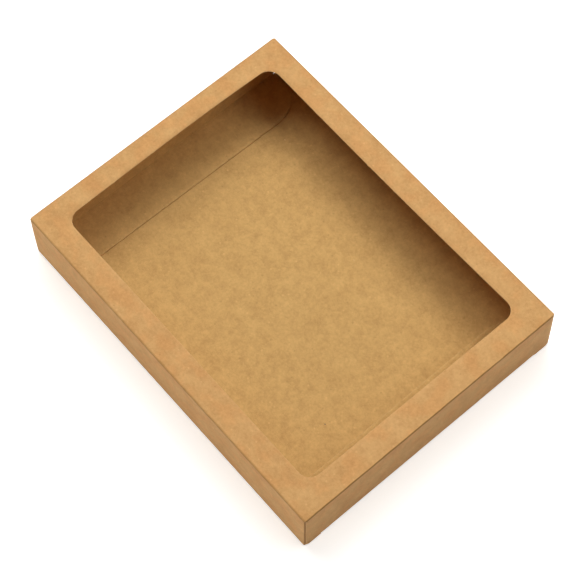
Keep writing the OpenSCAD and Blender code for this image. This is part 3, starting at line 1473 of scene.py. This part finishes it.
@dataclass(frozen=True)
class Fleck:
    """A stray bit of other fibre pressed into the paper, in millimetres."""

    place: tuple[float, float]
    size: float
    colour: tuple[float, float, float, float]
    thickness: float = 0.03

    def put(self, name: str, height: float, body: str) -> bpy.types.Object:
        """Lays the fleck on a level face.

        Args:
            name: The piece's name.
            height: Height of the face.
            body: The body that the face belongs to.

        Returns:
            The fleck.
        """
        turns = np.radians(np.arange(0, 360, 40))
        reach = self.size / 2 * (1 + 0.3 * np.sin(3 * turns + self.place[0]))
        round_x, round_y = reach * np.cos(turns), 0.7 * reach * np.sin(turns)
        ring = np.column_stack([self.place[0] + round_x, self.place[1] + round_y])
        low = [(x, y, height) for x, y in ring]
        high = [(x, y, height + self.thickness) for x, y in ring]
        count = len(ring)
        walls = [(k, (k + 1) % count, count + (k + 1) % count, count + k) for k in range(count)]
        mesh = bpy.data.meshes.new(name)
        caps = [tuple(range(count))[::-1], tuple(range(count, 2 * count))]
        mesh.from_pydata((np.array(low + high) * MM).tolist(), [], caps + walls)
        paint = bpy.data.materials.new(name)
        paint.use_nodes = True
        paint.diffuse_color = self.colour
        shader = paint.node_tree.nodes["Principled BSDF"]
        shader.inputs["Base Color"].default_value = self.colour
        shader.inputs["Roughness"].default_value = 0.8
        mesh.materials.append(paint)
        made = bpy.data.objects.new(name, mesh)
        bpy.context.scene.collection.objects.link(made)
        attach(made, body)
        return made


FLECKS = (
    ("bottom_fleck_rear", Fleck((-69.7, 56.7), 0.8, srgb(236, 200, 140)), "box"),
    ("bottom_fleck_middle", Fleck((6.7, 37.6), 0.6, srgb(232, 196, 138)), "box"),
    ("bottom_fleck_dark", Fleck((64.3, -32.3), 0.7, srgb(78, 68, 74)), "box"),
    ("flap_fleck", Fleck((-84.7, -11.1), 1.0, srgb(222, 180, 84)), "rear_tuck"),
)


class Studio:
    """The pale floor, the soft light and the camera."""

    sky: float = 0.03
    glow: float = 0.34
    glow_from: tuple[float, float, float] = (-0.894, 0.0, 0.447)
    floor_lift: float = 0.55
    floor_reach: float = 3.0
    lamp_aim: tuple[float, float, float] = (0.0, 0.0, 0.015)
    camera_place: tuple[float, float, float] = (0.31905, -0.25073, 0.88304)
    camera_turn: tuple[float, float, float] = (24.746, 1.069, 49.299)
    camera_lens: float = 118.17
    lamps: tuple[Softbox, ...] = (
        Softbox("rear bank", (-0.75, 0.0, 1.2), 0.8, 7.26),
        Softbox("right bank", (0.0, 0.75, 1.2), 0.8, 2.9),
        Softbox("window far", (-1.15, 0.55, 0.95), 0.8, 2.17),
        Softbox("window near", (-0.35, 0.6, 1.2), 0.5, 2.86),
        Softbox("front right bank", (0.5, 0.6, 1.1), 0.8, 3.62),
        Softbox("front right low", (1.25, 0.4, 0.5), 0.8, 2.02),
        Softbox("left low", (0.0, -1.3, 0.16), 0.3, 3.68),
    )

    @staticmethod
    def seen(bench: Bench) -> bpy.types.NodeSocket:
        """A mask that is 1 for what is seen directly, in a reflection or through glass.

        Args:
            bench: The node tree that it is added to.

        Returns:
            The mask.
        """
        ray = bench.add("ShaderNodeLightPath")
        direct = bench.math("ADD", ray.outputs["Is Camera Ray"], ray.outputs["Is Glossy Ray"], clamp=True)
        return bench.math("ADD", direct, ray.outputs["Is Transmission Ray"], clamp=True)

    def floor(self) -> bpy.types.Object:
        """A plain white floor that keeps the object's soft shadow.

        Returns:
            The floor.
        """
        mesh = bpy.data.meshes.new("floor")
        turns = ((-1, -1), (1, -1), (1, 1), (-1, 1))
        corners = [(self.floor_reach * x, self.floor_reach * y, 0.0) for x, y in turns]
        mesh.from_pydata(corners, [], [(0, 1, 2, 3)])
        made = bpy.data.objects.new("floor", mesh)
        bpy.context.scene.collection.objects.link(made)
        paint = bpy.data.materials.new("White floor")
        paint.use_nodes = True
        bench = Bench(paint.node_tree)
        shader = bench.add("ShaderNodeBsdfPrincipled")
        shader.inputs["Base Color"].default_value = (0.92, 0.92, 0.915, 1.0)
        shader.inputs["Roughness"].default_value = 0.9
        shader.inputs["Specular IOR Level"].default_value = 0.1
        glow = bench.add("ShaderNodeEmission")
        glow.inputs["Color"].default_value = (1.0, 0.98, 0.94, 1.0)
        bench.feed(glow.inputs["Strength"], bench.math("MULTIPLY", self.seen(bench), self.floor_lift))
        both = bench.add("ShaderNodeAddShader")
        bench.feed(both.inputs[0], shader.outputs[0])
        bench.feed(both.inputs[1], glow.outputs[0])
        bench.feed(bench.add("ShaderNodeOutputMaterial").inputs["Surface"], both.outputs[0])
        mesh.materials.append(paint)
        return made

    def world(self) -> None:
        """Soft light, stronger from the rear, and plain white where the camera looks past the floor."""
        world = bpy.data.worlds.new("Studio")
        bpy.context.scene.world = world
        world.use_nodes = True
        bench = Bench(world.node_tree)
        sky = bench.add("ShaderNodeBackground")
        towards = bench.add("ShaderNodeVectorMath", operation="DOT_PRODUCT")
        bench.feed(towards.inputs[0], bench.add("ShaderNodeTexCoord").outputs["Generated"])
        towards.inputs[1].default_value = self.glow_from
        lobe = bench.step(towards.outputs["Value"], 0.2, 0.95, self.sky, self.sky + self.glow)
        bench.feed(sky.inputs["Strength"], lobe)
        white = bench.add("ShaderNodeBackground")
        mix = bench.add("ShaderNodeMixShader")
        for background in (sky, white):
            background.inputs["Color"].default_value = (1.0, 1.0, 1.0, 1.0)
        bench.feed(mix.inputs[0], self.seen(bench))
        bench.feed(mix.inputs[1], sky.outputs[0])
        bench.feed(mix.inputs[2], white.outputs[0])
        bench.feed(bench.add("ShaderNodeOutputWorld").inputs["Surface"], mix.outputs[0])

    def camera(self) -> bpy.types.Object:
        """The camera, where the photograph was taken from.

        Returns:
            The camera, set as the scene's own.
        """
        lens = bpy.data.cameras.new("camera")
        lens.sensor_width = 36.0
        lens.lens = self.camera_lens
        lens.clip_start, lens.clip_end = 0.01, 20.0
        made = bpy.data.objects.new("camera", lens)
        made.location = self.camera_place
        made.rotation_euler = [math.radians(a) for a in self.camera_turn]
        bpy.context.scene.collection.objects.link(made)
        bpy.context.scene.camera = made
        return made

    def build(self) -> None:
        """Sets the whole studio up."""
        scene = bpy.context.scene
        scene.view_settings.view_transform = "Standard"
        self.camera()
        self.floor()
        self.world()
        for lamp in self.lamps:
            lamp.hang(Vector(self.lamp_aim))


def main() -> None:
    """Builds the studio and every piece of the box, in order."""
    logging.basicConfig(level=logging.INFO, format="%(name)s: %(message)s")
    Studio().build()
    sheet = KraftSheet()
    pieces = [Carton(sheet).build()]
    for end in End:
        pieces += Closure(sheet, end).build()
    board = sheet.board
    level = {"box": board.thickness - board.skin, "rear_tuck": sheet.sizes.tuck_z + board.thickness}
    pieces += [fleck.put(name, level[body], body) for name, fleck, body in FLECKS]
    for made in pieces:
        log.info("%s, %d faces", made.name, len(made.data.polygons))


if __name__ == "__main__":
    main()
